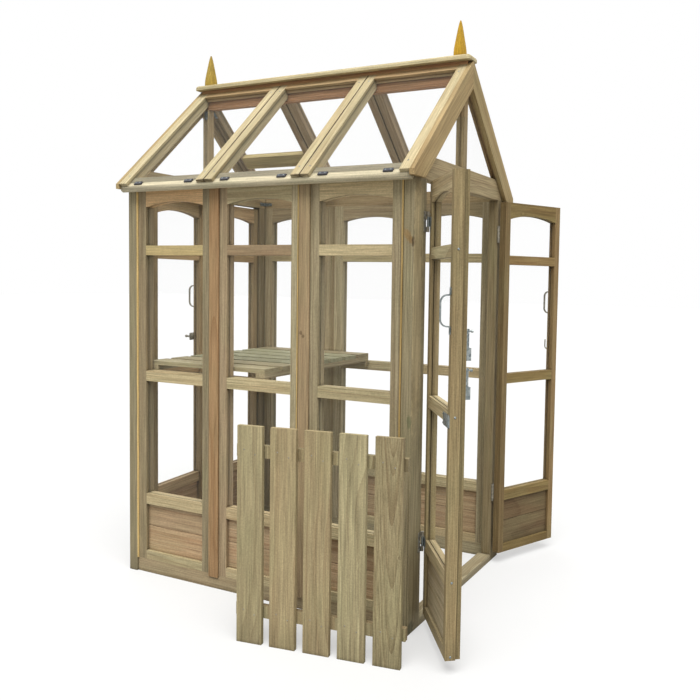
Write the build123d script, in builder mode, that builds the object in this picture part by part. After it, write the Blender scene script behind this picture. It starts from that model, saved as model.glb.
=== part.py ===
"""Small walk-in greenhouse of softwood with a pair of doors in each gable, glazed with thin clear sheets."""
from math import cos, radians, sin, tan
import os

from build123d import *

# Framed panels and door leaves, in millimetres: widths and depths, then rails and lights from the foot up
panel_width = 416
panel_stile = 49
panel_depth = 45
leaf_width = 379
leaf_stile = 32
leaf_depth = 36
foot_rail = 38
foot_light = 211
dado_rail = 47
lower_light = 503
middle_rail = 45
middle_light = 507
upper_rail = 42
head_light = 188
head_rail = 55
arch_rise = 21
groove_lap = 12
panel_groove_inset = 15
leaf_groove_inset = 11
board_thickness = 13
board_width = 110
joint_width = 5
sheet_thickness = 3

# Posts, sills, studs and cover strips
post_width = 100
post_depth = 45
arris = 2
side_sill_height = 60
door_sill_height = 30
door_sill_depth = 60
stud_width = 31
strip_width = 50
strip_thickness = 8
strip_sill_lap = 10

# Gables and roof
roof_pitch = 43.25
eaves_overhang = 52
plate_edge = 15.7
tie_height = 45
king_post_side = 36
ridge_beam_width = 32
ridge_beam_height = 94
cap_width = 96
cap_thickness = 20
cap_chamfer = 8
cap_overhang = 20
finial_side = 41
finial_height = 150
finial_inset = 42
finial_level_shares = (0, 0.23, 0.4, 0.75, 1)
finial_side_shares = (1, 0.96, 0.8, 0.44, 0.09)
rafter_width = 40
rafter_depth = 45
rafter_tongue = 15
rafter_joint = 3
eaves_rail_width = 60
top_rail_width = 34
top_rail_depth = 26
vent_rail_place = 300
vent_rail_width = 70
barge_depth = 82
barge_thickness = 20
clip_length = 40
clip_width = 16
clip_height = 6
clip_margin = 6
clip_end_share = 0.2

# Hanging of the doors
meeting_gap = 10
head_gap = 10
axis_inset = 3
axis_proud = 6
hinge_gap = 3
left_open_angle = 143.5
right_open_angle = 155.5
back_left_open_angle = 5.5
knuckle_radius = 5
knuckle_length = 36
knuckle_gap = 0.3
flap_length = 76
flap_width = 28
flap_thickness = 2
hinge_foot_inset = 280
hinge_head_inset = 146
handle_level = 1122
handle_length = 104
handle_reach = 38
handle_foot = 26
handle_foot_bend = 6
handle_grip_bend = 24
handle_strap_width = 8
handle_strap_thickness = 5
meeting_strip_width = 24
meeting_strip_depth = 18
meeting_strip_inset = 8
bolt_level = 880
bolt_spacing = 130
bolt_length = 105
bolt_plate_width = 24
bolt_plate_thickness = 3
bolt_radius = 5
bolt_lift = 3.5
guide_height = 42
guide_width = 18
guide_depth = 14
knob_inset = 8
knob_neck_radius = 3
knob_neck_length = 12
knob_radius = 5
knob_length = 6

# Slatted shelves
slat_width = 100
slat_thickness = 18
batten_width = 45
batten_thickness = 22
bearer_side = 28
shelf_height = 945
shelf_depth = 625
shelf_back_gap = 75
shelf_slats = 7
loose_slats = 5
loose_gap = 32
loose_length = 794
loose_foot_inset = 115
loose_head_inset = 94
loose_batten_reach = 12
loose_from_wall = 285
loose_from_front = 221
loose_turn = 8.25

# Levels of a framed panel, up from its foot
dado_low = foot_rail + foot_light
dado_high = dado_low + dado_rail
middle_low = dado_high + lower_light
middle_high = middle_low + middle_rail
upper_low = middle_high + middle_light
upper_high = upper_low + upper_rail
arch_crown = upper_high + head_light
arch_spring = arch_crown - arch_rise
panel_height = arch_crown + head_rail
straight_rails = ((0, foot_rail), (dado_low, dado_high), (middle_low, middle_high), (upper_low, upper_high))
sheet_lights = ((dado_high, middle_low), (middle_high, upper_low), (upper_high, arch_crown))

# Places in the building: the origin is the middle of the front door sill's underside
bay_names = ("front", "middle", "back")
bays = len(bay_names)
length = 2 * post_depth + bays * panel_width + (bays - 1) * stud_width
front = -door_sill_depth / 2
back = front + length
doorway_half = axis_inset + hinge_gap + leaf_width + meeting_gap / 2
half_width = doorway_half + post_width
frame_face = half_width - strip_thickness
inner_face = frame_face - panel_depth
wall_top = side_sill_height + panel_height
leaf_foot = side_sill_height - head_gap
bay_starts = [front + post_depth + i * (panel_width + stud_width) for i in range(bays)]
stud_starts = [start + panel_width for start in bay_starts[:-1]]
pitch = radians(roof_pitch)
roof_half = half_width + eaves_overhang
rafter_drop = rafter_depth / cos(pitch)
apex_height = wall_top + plate_edge + frame_face * tan(pitch) + rafter_drop
eaves_height = apex_height - roof_half * tan(pitch)
lower_tie_top = wall_top + tie_height
upper_tie_top = lower_tie_top + tie_height
ridge_beam_top = apex_height
ridge_beam_bottom = ridge_beam_top - ridge_beam_height
cap_top = ridge_beam_top + cap_thickness

os.makedirs("parts", exist_ok=True)


def save(piece, name):
    """Labels a finished piece and writes it as one file."""
    piece.part.label = name
    export_step(piece.part, f"parts/{name}.step")


def block(x_range, y_range, z_range):
    """Adds a box between two corners to the part being built."""
    size = [high - low for low, high in (x_range, y_range, z_range)]
    middle = [(high + low) / 2 for low, high in (x_range, y_range, z_range)]
    with Locations(tuple(middle)):
        Box(*size)


def mirrored(side, low, high):
    """Range of x between two distances from the centre line, on one side of the building."""
    return sorted((side * low, side * high))


def prism(points, y_back, thickness):
    """Adds a polygon of x, z points carried from y_back towards the front."""
    with BuildSketch(Plane.XZ.offset(-y_back)) as profile:
        with BuildLine():
            Polyline(*points, close=True)
        make_face()
    extrude(profile.sketch, amount=thickness)


def on_slope(side, along, depth):
    """Point x, z on a roof slope: along it from the eaves, and depth under its top surface."""
    x = roof_half - along * cos(pitch) - depth * sin(pitch)
    return side * x, eaves_height + along * sin(pitch) - depth * cos(pitch)


def slope_end(depth):
    """Distance along the slope where the ridge beam's side is met at this depth."""
    return (roof_half - ridge_beam_width / 2 - depth * sin(pitch)) / cos(pitch)


def slope_bar(side, alongs, depths, y_back, run):
    """Adds a bar on a roof slope, square to it: between two distances along it and two depths."""
    low, high = alongs
    top, bottom = depths
    corners = ((low, top), (high, top), (high, bottom), (low, bottom))
    prism([on_slope(side, *corner) for corner in corners], y_back, run)


def underside(x):
    """Height of the roof timbers' underside at x."""
    return wall_top + plate_edge + (frame_face - abs(x)) * tan(pitch)


def underside_reach(z):
    """Distance from the centre line where the roof timbers' underside is at height z."""
    return frame_face - (z - wall_top - plate_edge) / tan(pitch)


def inward_plane(x, y, z, inward):
    """Plane on a panel's outer face at its foot's middle, its normal pointing indoors."""
    across = (-inward[1], inward[0], 0)
    return Plane(origin=(x, y, z), x_dir=across, z_dir=(inward[0], inward[1], 0))


def light_infill(plane, clear, inset, light, thickness, mode=Mode.ADD):
    """Adds an infill that laps into the frame all round one light, or cuts the groove for it."""
    low, high = light
    with BuildSketch(plane.offset(inset)) as infill:
        with Locations((0, (low + high) / 2)):
            Rectangle(clear + 2 * groove_lap, high - low + 2 * groove_lap)
    extrude(infill.sketch, amount=thickness, mode=mode)


def cut_grooves(plane, clear, inset):
    """Cuts the grooves round every light that hold the boards and the clear sheets."""
    light_infill(plane, clear, inset, (foot_rail, dado_low), board_thickness, Mode.SUBTRACT)
    for light in sheet_lights:
        light_infill(plane, clear, inset, light, sheet_thickness, Mode.SUBTRACT)


def panel_stiles(plane, clear, stile, depth, inset):
    """Adds the two uprights of a framed panel, grooved on their inner edges."""
    with BuildSketch(plane) as uprights:
        for sign in (-1, 1):
            with Locations((sign * (clear + stile) / 2, panel_height / 2)):
                Rectangle(stile, panel_height)
    extrude(uprights.sketch, amount=depth)
    cut_grooves(plane, clear, inset)


def panel_rails(plane, clear, depth, inset):
    """Adds the grooved rails between two stiles: four straight ones and an arched head."""
    half = clear / 2
    with BuildSketch(plane) as rails:
        for low, high in straight_rails:
            with Locations((0, (low + high) / 2)):
                Rectangle(clear, high - low)
        with BuildLine():
            Polyline((-half, arch_spring), (-half, panel_height), (half, panel_height), (half, arch_spring))
            ThreePointArc((half, arch_spring), (0, arch_crown), (-half, arch_spring))
        make_face()
    extrude(rails.sketch, amount=depth)
    cut_grooves(plane, clear, inset)


def panel_sheets(plane, clear, inset):
    """Adds the clear sheets of a panel's three upper lights, each held in its groove."""
    for light in sheet_lights:
        light_infill(plane, clear, inset, light, sheet_thickness)


def panel_boards(plane, clear, inset):
    """Adds the boarded infill of a panel's foot, with a V joint on both faces between its two boards."""
    light_infill(plane, clear, inset, (foot_rail, dado_low), board_thickness)
    half = joint_width / 2
    for face, inward in ((0, half), (board_thickness, -half)):
        joint_start = plane.from_local_coords((-clear, foot_rail + board_width, inset + face))
        with BuildSketch(Plane(origin=joint_start, x_dir=plane.y_dir, z_dir=plane.x_dir)) as joint:
            with BuildLine():
                Polyline((-half, 0), (half, 0), (0, inward), close=True)
            make_face()
        extrude(joint.sketch, amount=2 * clear, mode=Mode.SUBTRACT)


# Posts, sills and studs
with BuildPart() as corner_posts:
    for side in (-1, 1):
        for y in (front, back - post_depth):
            block(mirrored(side, doorway_half, half_width), (y, y + post_depth), (0, wall_top))
    chamfer(corner_posts.edges().filter_by(Axis.Z), length=arris)
save(corner_posts, "corner_posts")

with BuildPart() as door_sills:
    for y in (front, back - door_sill_depth):
        block((-doorway_half, doorway_half), (y, y + door_sill_depth), (0, door_sill_height))
save(door_sills, "door_sills")

with BuildPart() as side_sills:
    for side in (-1, 1):
        y_pair = (front + post_depth, back - post_depth)
        block(mirrored(side, inner_face, frame_face), y_pair, (0, side_sill_height))
save(side_sills, "side_sills")

with BuildPart() as wall_studs:
    for side in (-1, 1):
        for y in stud_starts:
            z_pair = (side_sill_height, wall_top)
            block(mirrored(side, inner_face, frame_face), (y, y + stud_width), z_pair)
save(wall_studs, "wall_studs")

with BuildPart() as cover_strips:
    for side in (-1, 1):
        for y in stud_starts:
            middle = y + stud_width / 2
            y_pair = (middle - strip_width / 2, middle + strip_width / 2)
            z_pair = (side_sill_height - strip_sill_lap, wall_top)
            block(mirrored(side, frame_face, half_width), y_pair, z_pair)
    upright = cover_strips.edges().filter_by(Axis.Z)
    chamfer(upright.filter_by(lambda edge: abs(edge.center().X) > half_width - arris), length=arris)
save(cover_strips, "cover_strips")

# Framed panels of the long walls, with their boards and clear sheets
panel_clear = panel_width - 2 * panel_stile
wall_planes = {
    side_name: [
        inward_plane(side * frame_face, start + panel_width / 2, side_sill_height, (-side, 0))
        for start in bay_starts
    ]
    for side_name, side in (("left", -1), ("right", 1))
}
for side_name, planes in wall_planes.items():
    with BuildPart() as wall_stiles:
        for plane in planes:
            panel_stiles(plane, panel_clear, panel_stile, panel_depth, panel_groove_inset)
    save(wall_stiles, f"{side_name}_wall_stiles")
    with BuildPart() as wall_rails:
        for plane in planes:
            panel_rails(plane, panel_clear, panel_depth, panel_groove_inset)
    save(wall_rails, f"{side_name}_wall_rails")

with BuildPart() as wall_boards:
    for planes in wall_planes.values():
        for plane in planes:
            panel_boards(plane, panel_clear, panel_groove_inset)
save(wall_boards, "wall_boards")

with BuildPart() as wall_glazing:
    for planes in wall_planes.values():
        for plane in planes:
            panel_sheets(plane, panel_clear, panel_groove_inset)
save(wall_glazing, "wall_glazing")

# Wall plates and gable timbers
with BuildPart() as wall_plates:
    for side in (-1, 1):
        outer, inner = side * frame_face, side * inner_face
        section = [(outer, wall_top), (inner, wall_top), (inner, underside(inner)), (outer, underside(outer))]
        prism(section, back - post_depth, length - 2 * post_depth)
save(wall_plates, "wall_plates")

lower_reach = underside_reach(lower_tie_top)
upper_reach = underside_reach(upper_tie_top)
with BuildPart() as lower_ties:
    right_half = [(half_width, wall_top), (half_width, underside(half_width)), (lower_reach, lower_tie_top)]
    left_half = [(-x, z) for x, z in reversed(right_half)]
    for y in (front + post_depth, back):
        prism(right_half + left_half, y, post_depth)
save(lower_ties, "lower_ties")

with BuildPart() as upper_ties:
    right_half = [(lower_reach, lower_tie_top), (upper_reach, upper_tie_top)]
    left_half = [(-x, z) for x, z in reversed(right_half)]
    for y in (front + post_depth, back):
        prism(right_half + left_half, y, post_depth)
save(upper_ties, "upper_ties")

king_half = king_post_side / 2
king_spans = [
    (front + post_depth - king_post_side, front + post_depth),
    (back - post_depth, back - post_depth + king_post_side),
]
with BuildPart() as king_posts:
    for span in king_spans:
        block((-king_half, king_half), span, (upper_tie_top, ridge_beam_bottom))
save(king_posts, "king_posts")

with BuildPart() as gable_glazing:
    for low, high in king_spans:
        for side in (-1, 1):
            corners = [(king_half, upper_tie_top), (upper_reach, upper_tie_top)]
            corners.append((king_half, underside(king_half)))
            prism([(side * x, z) for x, z in corners], (low + high + sheet_thickness) / 2, sheet_thickness)
save(gable_glazing, "gable_glazing")

# Ridge
with BuildPart() as ridge_beam:
    half = ridge_beam_width / 2
    block((-half, half), (front, back), (ridge_beam_bottom, ridge_beam_top))
save(ridge_beam, "ridge_beam")

with BuildPart() as ridge_cap:
    half = cap_width / 2
    block((-half, half), (front - cap_overhang, back + cap_overhang), (ridge_beam_top, cap_top))
    chamfer(ridge_cap.faces().sort_by(Axis.Z)[-1].edges(), length=cap_chamfer)
save(ridge_cap, "ridge_cap")

with BuildPart() as finials:
    for y in (front + finial_inset, back - finial_inset):
        levels = zip(finial_level_shares, finial_side_shares)
        for level_share, side_share in levels:
            with BuildSketch(Plane.XY.offset(cap_top + level_share * finial_height)):
                with Locations((0, y)):
                    Rectangle(side_share * finial_side, side_share * finial_side)
        loft()
save(finials, "finials")

# Roof timbers, clear sheets and clips
top_rail_low = slope_end(0) - top_rail_width
roof_bay = length / bays
inner_joints = [0] + [rafter_joint / 2] * (bays - 1) + [0]
bay_spans = [
    (front + i * roof_bay + inner_joints[i], front + (i + 1) * roof_bay - inner_joints[i + 1])
    for i in range(bays)
]
rafter_outline = [(0, 0), (slope_end(0), 0), (slope_end(rafter_depth), rafter_depth)]
rafter_outline += [(eaves_rail_width, rafter_depth), (eaves_rail_width, rafter_tongue), (0, rafter_tongue)]
for name, side in (("left_rafters", -1), ("right_rafters", 1)):
    with BuildPart() as rafters:
        for low, high in bay_spans:
            for y in (low + rafter_width, high):
                prism([on_slope(side, *corner) for corner in rafter_outline], y, rafter_width)
    save(rafters, name)

with BuildPart() as eaves_rails:
    for side in (-1, 1):
        slope_bar(side, (0, eaves_rail_width), (rafter_tongue, rafter_depth), back, length)
save(eaves_rails, "eaves_rails")

with BuildPart() as top_rails:
    for side in (-1, 1):
        corners = [(top_rail_low, 0), (slope_end(0), 0)]
        corners += [(slope_end(top_rail_depth), top_rail_depth), (top_rail_low, top_rail_depth)]
        for low, high in bay_spans:
            clear_run = high - low - 2 * rafter_width
            prism([on_slope(side, *corner) for corner in corners], high - rafter_width, clear_run)
save(top_rails, "top_rails")

with BuildPart() as vent_rail:
    low, high = bay_spans[-1]
    alongs = (vent_rail_place, vent_rail_place + vent_rail_width)
    slope_bar(1, alongs, (rafter_tongue, rafter_depth), high - rafter_width, high - low - 2 * rafter_width)
save(vent_rail, "vent_rail")

sheet_low = clip_margin + clip_width
sheet_depths = (rafter_tongue - sheet_thickness, rafter_tongue)
with BuildPart() as roof_glazing:
    for side in (-1, 1):
        for low, high in bay_spans:
            clear_run = high - low - 2 * rafter_width
            slope_bar(side, (sheet_low, top_rail_low), sheet_depths, high - rafter_width, clear_run)
save(roof_glazing, "roof_glazing")

clip_depths = (rafter_tongue - clip_height, rafter_tongue)
with BuildPart() as glazing_clips:
    for side in (-1, 1):
        for low, high in bay_spans:
            for share in (clip_end_share, 1 - clip_end_share):
                middle = low + share * (high - low)
                slope_bar(side, (clip_margin, sheet_low), clip_depths, middle + clip_length / 2, clip_length)
save(glazing_clips, "glazing_clips")

barge_drop = barge_depth / cos(pitch)
barge_foot_reach = (apex_height - barge_drop - wall_top) / tan(pitch)
barge_outline = [(roof_half, eaves_height), (roof_half, wall_top), (barge_foot_reach, wall_top)]
barge_outline += [(0, apex_height - barge_drop), (0, apex_height)]
for name, side in (("left_bargeboards", -1), ("right_bargeboards", 1)):
    with BuildPart() as bargeboards:
        for y in (front, back + barge_thickness):
            prism([(side * x, z) for x, z in barge_outline], y, barge_thickness)
    save(bargeboards, name)

# Shelf inside, over the back half
batten_top = shelf_height - slat_thickness
bearer_top = batten_top - batten_thickness
shelf_back = back - shelf_back_gap
shelf_front = shelf_back - shelf_depth
slat_pitch = (2 * inner_face - slat_width) / (shelf_slats - 1)
with BuildPart() as shelf_boards:
    for i in range(shelf_slats):
        left = -inner_face + i * slat_pitch
        block((left, left + slat_width), (shelf_front, shelf_back), (batten_top, shelf_height))
save(shelf_boards, "shelf_boards")

with BuildPart() as shelf_battens:
    for y in (shelf_front, shelf_back - batten_width):
        block((-inner_face, inner_face), (y, y + batten_width), (bearer_top, batten_top))
save(shelf_battens, "shelf_battens")

with BuildPart() as shelf_bearers:
    for side in (-1, 1):
        x_pair = mirrored(side, inner_face - bearer_side, inner_face)
        block(x_pair, (shelf_front, shelf_back), (bearer_top - bearer_side, bearer_top))
save(shelf_bearers, "shelf_bearers")

# Spare shelf standing upright beside the left wall
loose_foot = (-half_width - loose_from_wall, front + loose_from_front, 0)
loose_pitch = slat_width + loose_gap
loose_width = slat_width + (loose_slats - 1) * loose_pitch
loose_reach = loose_width / 2 + loose_batten_reach
with BuildPart(Plane(origin=loose_foot).rotated((0, 0, loose_turn))) as loose_shelf:
    for i in range(loose_slats):
        low = -loose_width / 2 + i * loose_pitch
        block((0, slat_thickness), (low, low + slat_width), (0, loose_length))
    for z in (loose_foot_inset, loose_length - loose_head_inset):
        x_pair = (slat_thickness, slat_thickness + batten_thickness)
        block(x_pair, (-loose_reach, loose_reach), (z - batten_width / 2, z + batten_width / 2))
save(loose_shelf, "loose_shelf")

# Door leaves: closed they fill the doorway; each hangs from one post and turns about its knuckles
gable_face = {"front": front, "back": back}
gable_inward = {"front": 1, "back": -1}


class Leaf:
    """Places of one leaf: its hinge axis, its direction away from the hinge and its inward normal."""

    def __init__(self, side, gable, opening):
        turn = radians(opening)
        self.axis = (side * (doorway_half - axis_inset), gable_face[gable] - gable_inward[gable] * axis_proud)
        self.run = (-side * cos(turn), -gable_inward[gable] * sin(turn))
        self.inward = (-side * sin(turn), gable_inward[gable] * cos(turn))
        self.side = side
        self.gable = gable
        self.free_sign = side * gable_inward[gable]

    def point(self, along, inward):
        """Plan point: along the leaf from its axis, and inward from the axis."""
        return tuple(a + along * r + inward * n for a, r, n in zip(self.axis, self.run, self.inward))

    def plane(self):
        """Plane on the outer face at the middle of the leaf's foot."""
        return inward_plane(*self.point(hinge_gap + leaf_width / 2, axis_proud), leaf_foot, self.inward)


leaves = {
    "front_left": Leaf(-1, "front", left_open_angle),
    "front_right": Leaf(1, "front", right_open_angle),
    "back_left": Leaf(-1, "back", back_left_open_angle),
    "back_right": Leaf(1, "back", 0),
}
leaf_clear = leaf_width - 2 * leaf_stile
hinge_levels = (hinge_foot_inset, panel_height - hinge_head_inset)


def upright_bar(plane, across, levels, depths, bar_width):
    """Adds an upright bar on a leaf: across from its middle, between two levels and two depths."""
    with BuildSketch(plane.offset(depths[0])) as face:
        with Locations((across, (levels[0] + levels[1]) / 2)):
            Rectangle(bar_width, levels[1] - levels[0])
    extrude(face.sketch, amount=depths[1] - depths[0])


def strap_handle(plane, across):
    """Adds the bow handle: a bar bent out from the outer face, with a foot at either end."""
    low, high = handle_level, handle_level + handle_length
    skin = -handle_strap_thickness / 2
    grip = -handle_reach + handle_strap_thickness / 2
    path_plane = Plane(origin=plane.from_local_coords((across, 0, 0)), x_dir=plane.y_dir, z_dir=plane.x_dir)
    bends = [(low - handle_foot, skin), (low, skin), (low, grip), (high, grip), (high, skin)]
    bends.append((high + handle_foot, skin))
    with BuildLine(path_plane) as bend:
        FilletPolyline(*bends, radius=(handle_foot_bend, handle_grip_bend, handle_grip_bend, handle_foot_bend))
    with BuildSketch(Plane(origin=bend.line @ 0, x_dir=plane.x_dir, z_dir=bend.line % 0)) as strap:
        Rectangle(handle_strap_width, handle_strap_thickness)
    sweep(strap.sketch, path=bend.line)


def leaf_hinge(leaf, z):
    """Adds one hinge's turning half: a middle knuckle with its flap on the leaf's outer face."""
    with Locations((*leaf.axis, z)):
        Cylinder(knuckle_radius, knuckle_length)
    middle = leaf.point(flap_width / 2, axis_proud - flap_thickness / 2)
    flap_plane = Plane(origin=(*middle, z - knuckle_length / 2), x_dir=(*leaf.run, 0), z_dir=(0, 0, 1))
    with BuildSketch(flap_plane) as flap:
        Rectangle(flap_width, flap_thickness)
    extrude(flap.sketch, amount=knuckle_length)


def tower_bolt(plane, across, foot, face):
    """Adds a tower bolt on an inner face: back plate, round bolt, guide at its foot, knob near its head."""
    head = foot + bolt_length
    bolt_face = face + bolt_plate_thickness
    bolt_axis = bolt_face + bolt_lift
    upright_bar(plane, across, (foot, head), (face, bolt_face), bolt_plate_width)
    upright_bar(plane, across, (foot, foot + guide_height), (bolt_face, bolt_face + guide_depth), guide_width)
    rod_foot = plane.from_local_coords((across, foot, bolt_axis))
    with BuildSketch(Plane(origin=rod_foot, x_dir=plane.x_dir, z_dir=plane.y_dir)) as rod:
        Circle(bolt_radius)
    extrude(rod.sketch, amount=bolt_length)
    neck_end = bolt_axis + knob_neck_length
    turned = ((bolt_axis, neck_end, knob_neck_radius), (neck_end, neck_end + knob_length, knob_radius))
    for start, end, radius in turned:
        with BuildSketch(plane.offset(start)) as knob:
            with Locations((across, head - knob_inset)):
                Circle(radius)
        extrude(knob.sketch, amount=end - start)


for name, leaf in leaves.items():
    plane = leaf.plane()
    with BuildPart() as leaf_stiles:
        panel_stiles(plane, leaf_clear, leaf_stile, leaf_depth, leaf_groove_inset)
    save(leaf_stiles, f"{name}_stiles")
    with BuildPart() as leaf_rails:
        panel_rails(plane, leaf_clear, leaf_depth, leaf_groove_inset)
    save(leaf_rails, f"{name}_rails")
    with BuildPart() as leaf_boards:
        panel_boards(plane, leaf_clear, leaf_groove_inset)
    save(leaf_boards, f"{name}_boards")
    with BuildPart() as leaf_glazing:
        panel_sheets(plane, leaf_clear, leaf_groove_inset)
    save(leaf_glazing, f"{name}_glazing")
    with BuildPart() as leaf_ironwork:
        strap_handle(plane, leaf.free_sign * (leaf_width - leaf_stile) / 2)
        for level in hinge_levels:
            leaf_hinge(leaf, leaf_foot + level)
    save(leaf_ironwork, f"{name}_ironwork")

# Meeting strips on the left leaves' inner faces, with tower bolts on the front one
strip_middle = leaf_width / 2 - meeting_strip_inset - meeting_strip_width / 2
strip_face = leaf_depth + meeting_strip_depth
for name in ("front_left", "back_left"):
    leaf = leaves[name]
    across = leaf.free_sign * strip_middle
    with BuildPart() as meeting_strip:
        upright_bar(leaf.plane(), across, (0, panel_height), (leaf_depth, strip_face), meeting_strip_width)
    save(meeting_strip, f"{name}_meeting_strip")

with BuildPart() as tower_bolts:
    leaf = leaves["front_left"]
    for level in (bolt_level, bolt_level + bolt_spacing):
        tower_bolt(leaf.plane(), leaf.free_sign * strip_middle, level, strip_face)
save(tower_bolts, "tower_bolts")

# Fixed halves of the hinges on the posts
end_knuckle = (flap_length - knuckle_length) / 2 - knuckle_gap
with BuildPart() as hinge_flaps:
    for leaf in leaves.values():
        face = gable_face[leaf.gable]
        y_pair = sorted((face, face - gable_inward[leaf.gable] * flap_thickness))
        axis_x = abs(leaf.axis[0])
        flap_x = mirrored(leaf.side, axis_x, axis_x + flap_width)
        plate_x = mirrored(leaf.side, axis_x + 2 * knuckle_radius, axis_x + flap_width)
        for level in hinge_levels:
            z = leaf_foot + level
            for low in (z - flap_length / 2, z + knuckle_length / 2 + knuckle_gap):
                with Locations((*leaf.axis, low + end_knuckle / 2)):
                    Cylinder(knuckle_radius, end_knuckle)
                block(flap_x, y_pair, (low, low + end_knuckle))
            block(plate_x, y_pair, (z - flap_length / 2, z + flap_length / 2))
save(hinge_flaps, "hinge_flaps")
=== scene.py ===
"""Looks of a small glazed garden house with double doors: treated softwood, clear sheets, zinc ironwork.

The solids give every timber, sheet and hinge. Here they get their finishes, and the screws, nails,
plates, hooks and thin fillets that the solids leave out. Lengths are metres unless a name says mm.
"""

import math

import bpy
import numpy as np
from mathutils import Matrix, Vector


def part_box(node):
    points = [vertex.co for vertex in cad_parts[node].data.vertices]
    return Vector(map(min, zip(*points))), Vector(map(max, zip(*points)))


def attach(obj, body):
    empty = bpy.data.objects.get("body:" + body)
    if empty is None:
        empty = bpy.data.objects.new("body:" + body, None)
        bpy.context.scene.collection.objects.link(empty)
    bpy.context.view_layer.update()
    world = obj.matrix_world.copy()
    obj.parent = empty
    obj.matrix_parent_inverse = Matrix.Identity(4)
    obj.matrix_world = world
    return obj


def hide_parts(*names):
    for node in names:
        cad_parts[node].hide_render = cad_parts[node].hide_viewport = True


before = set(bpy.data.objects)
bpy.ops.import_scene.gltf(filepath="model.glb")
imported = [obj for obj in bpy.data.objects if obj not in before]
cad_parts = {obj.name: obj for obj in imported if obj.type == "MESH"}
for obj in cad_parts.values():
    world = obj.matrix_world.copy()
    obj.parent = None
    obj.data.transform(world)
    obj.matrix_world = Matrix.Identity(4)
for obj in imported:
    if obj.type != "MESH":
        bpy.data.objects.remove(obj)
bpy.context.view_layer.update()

MM = 1000.0  # millimetres in a metre: patterns are sized in millimetres
X, Y, Z = Vector((1, 0, 0)), Vector((0, 1, 0)), Vector((0, 0, 1))

# Places on the solids, as the source has them
WALL_FACE = 0.482          # outer face of the wall panels, from the centre line
INNER_FACE = 0.437         # inner face of the wall panels
FRONT, BACK = -0.030, 1.370
WALL_TOP = 1.696
SILL_TOP = 0.060
ROOF_HALF, EAVES, PITCH = 0.542, 1.7171, math.radians(43.25)
UP_LEFT = Vector((math.cos(PITCH), 0, math.sin(PITCH)))
UP_RIGHT = Vector((-math.cos(PITCH), 0, math.sin(PITCH)))
SPARE_FOOT, SPARE_TURN = Vector((-0.775, 0.191, 0)), math.radians(8.25)
SLAT_SPACING = 0.132
RAFTER_JOINTS = (0.43667, 0.90333)
LEAF_FREE_EDGE = 0.382     # from the hinge axis to the leaf's free edge
LEAF_HALF = 0.1925         # the same, to the middle of the leaf's width
LEAF_OUTER = 0.006         # from the hinge axis inward to the leaf's outer face
LEAF_MIDDLE = 0.024        # inward too, to the middle of the leaf's thickness


class LeafPlace:
    """Where one door leaf stands at rest: hinge axis, direction away from it, inward normal."""

    def __init__(self, body, axis, run, inward):
        self.body = body
        self.axis = Vector((*axis, 0))
        self.run = Vector((*run, 0)).normalized()
        self.inward = Vector((*inward, 0)).normalized()

    def point(self, along, inward, height):
        """A point by its distances from the hinge axis, along the leaf and inward, and its height."""
        return self.axis + self.run * along + self.inward * inward + Z * height


LEAVES = {
    "front_left": LeafPlace(
        "front_left_door", (-0.387, -0.036), (-0.80386, -0.59482), (0.59482, -0.80386)),
    "front_right": LeafPlace(
        "front_right_door", (0.387, -0.036), (0.90996, -0.41469), (-0.41469, -0.90996)),
    "back_left": LeafPlace(
        "back_left_door", (-0.387, 1.376), (0.99540, 0.09585), (0.09585, -0.99540)),
    "back_right": LeafPlace(
        "back_right_door", (0.387, 1.376), (-1, 0), (0, -1)),
}


# Finishes

def paint(code):
    """Colour from its sRGB hex code, as the linear values that a shader takes."""
    srgb = np.array([int(code[i:i + 2], 16) for i in (1, 3, 5)]) / 255.0
    linear = np.where(srgb <= 0.04045, srgb / 12.92, ((srgb + 0.055) / 1.055) ** 2.4)
    return (*linear.tolist(), 1.0)


def add(tree, kind, inputs=None, **fields):
    """Adds a node, sets its fields, and fills its inputs with values or with other nodes' outputs."""
    made = tree.nodes.new(kind)
    for field, value in fields.items():
        setattr(made, field, value)
    for place, value in (inputs or {}).items():
        if isinstance(value, bpy.types.NodeSocket):
            tree.links.new(value, made.inputs[place])
        else:
            made.inputs[place].default_value = value
    return made


def maths(tree, operation, *values):
    """Arithmetic on up to three numbers."""
    return add(tree, "ShaderNodeMath", dict(enumerate(values)), operation=operation).outputs[0]


def vectors(tree, operation, *values):
    """Arithmetic on up to three vectors: gives a vector, or the number for a length or a distance."""
    made = add(tree, "ShaderNodeVectorMath", dict(enumerate(values)), operation=operation)
    return made.outputs["Value" if operation in ("LENGTH", "DISTANCE") else "Vector"]


def ramp(tree, value, span, result, kind="LINEAR"):
    """A value scaled from one span to another, and held at the ends."""
    return add(tree, "ShaderNodeMapRange", {
        "Value": value, "From Min": span[0], "From Max": span[1], "To Min": result[0], "To Max": result[1]},
        interpolation_type=kind).outputs[0]


def noise(tree, place, scale, detail, result="Fac"):
    """Cloudy noise, with so many lumps to a unit of length and so many finer layers."""
    return add(tree, "ShaderNodeTexNoise", {
        "Vector": place, "Scale": scale, "Detail": detail}).outputs[result]


def coat(tree, share, under, over):
    """Colour of one coat over another, by the share that the upper one covers."""
    return add(tree, "ShaderNodeMix", {0: share, 6: under, 7: over}, data_type="RGBA").outputs[2]


def between(tree, share, first, second):
    """Place between two others: the first at share 0, the second at share 1."""
    return add(tree, "ShaderNodeMix", {0: share, 4: first, 5: second}, data_type="VECTOR").outputs[1]


def new_finish(name):
    """An empty finish: the material, its node tree and its surface shader."""
    finish = bpy.data.materials.new(name)
    finish.use_nodes = True
    return finish, finish.node_tree, finish.node_tree.nodes["Principled BSDF"]


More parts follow.
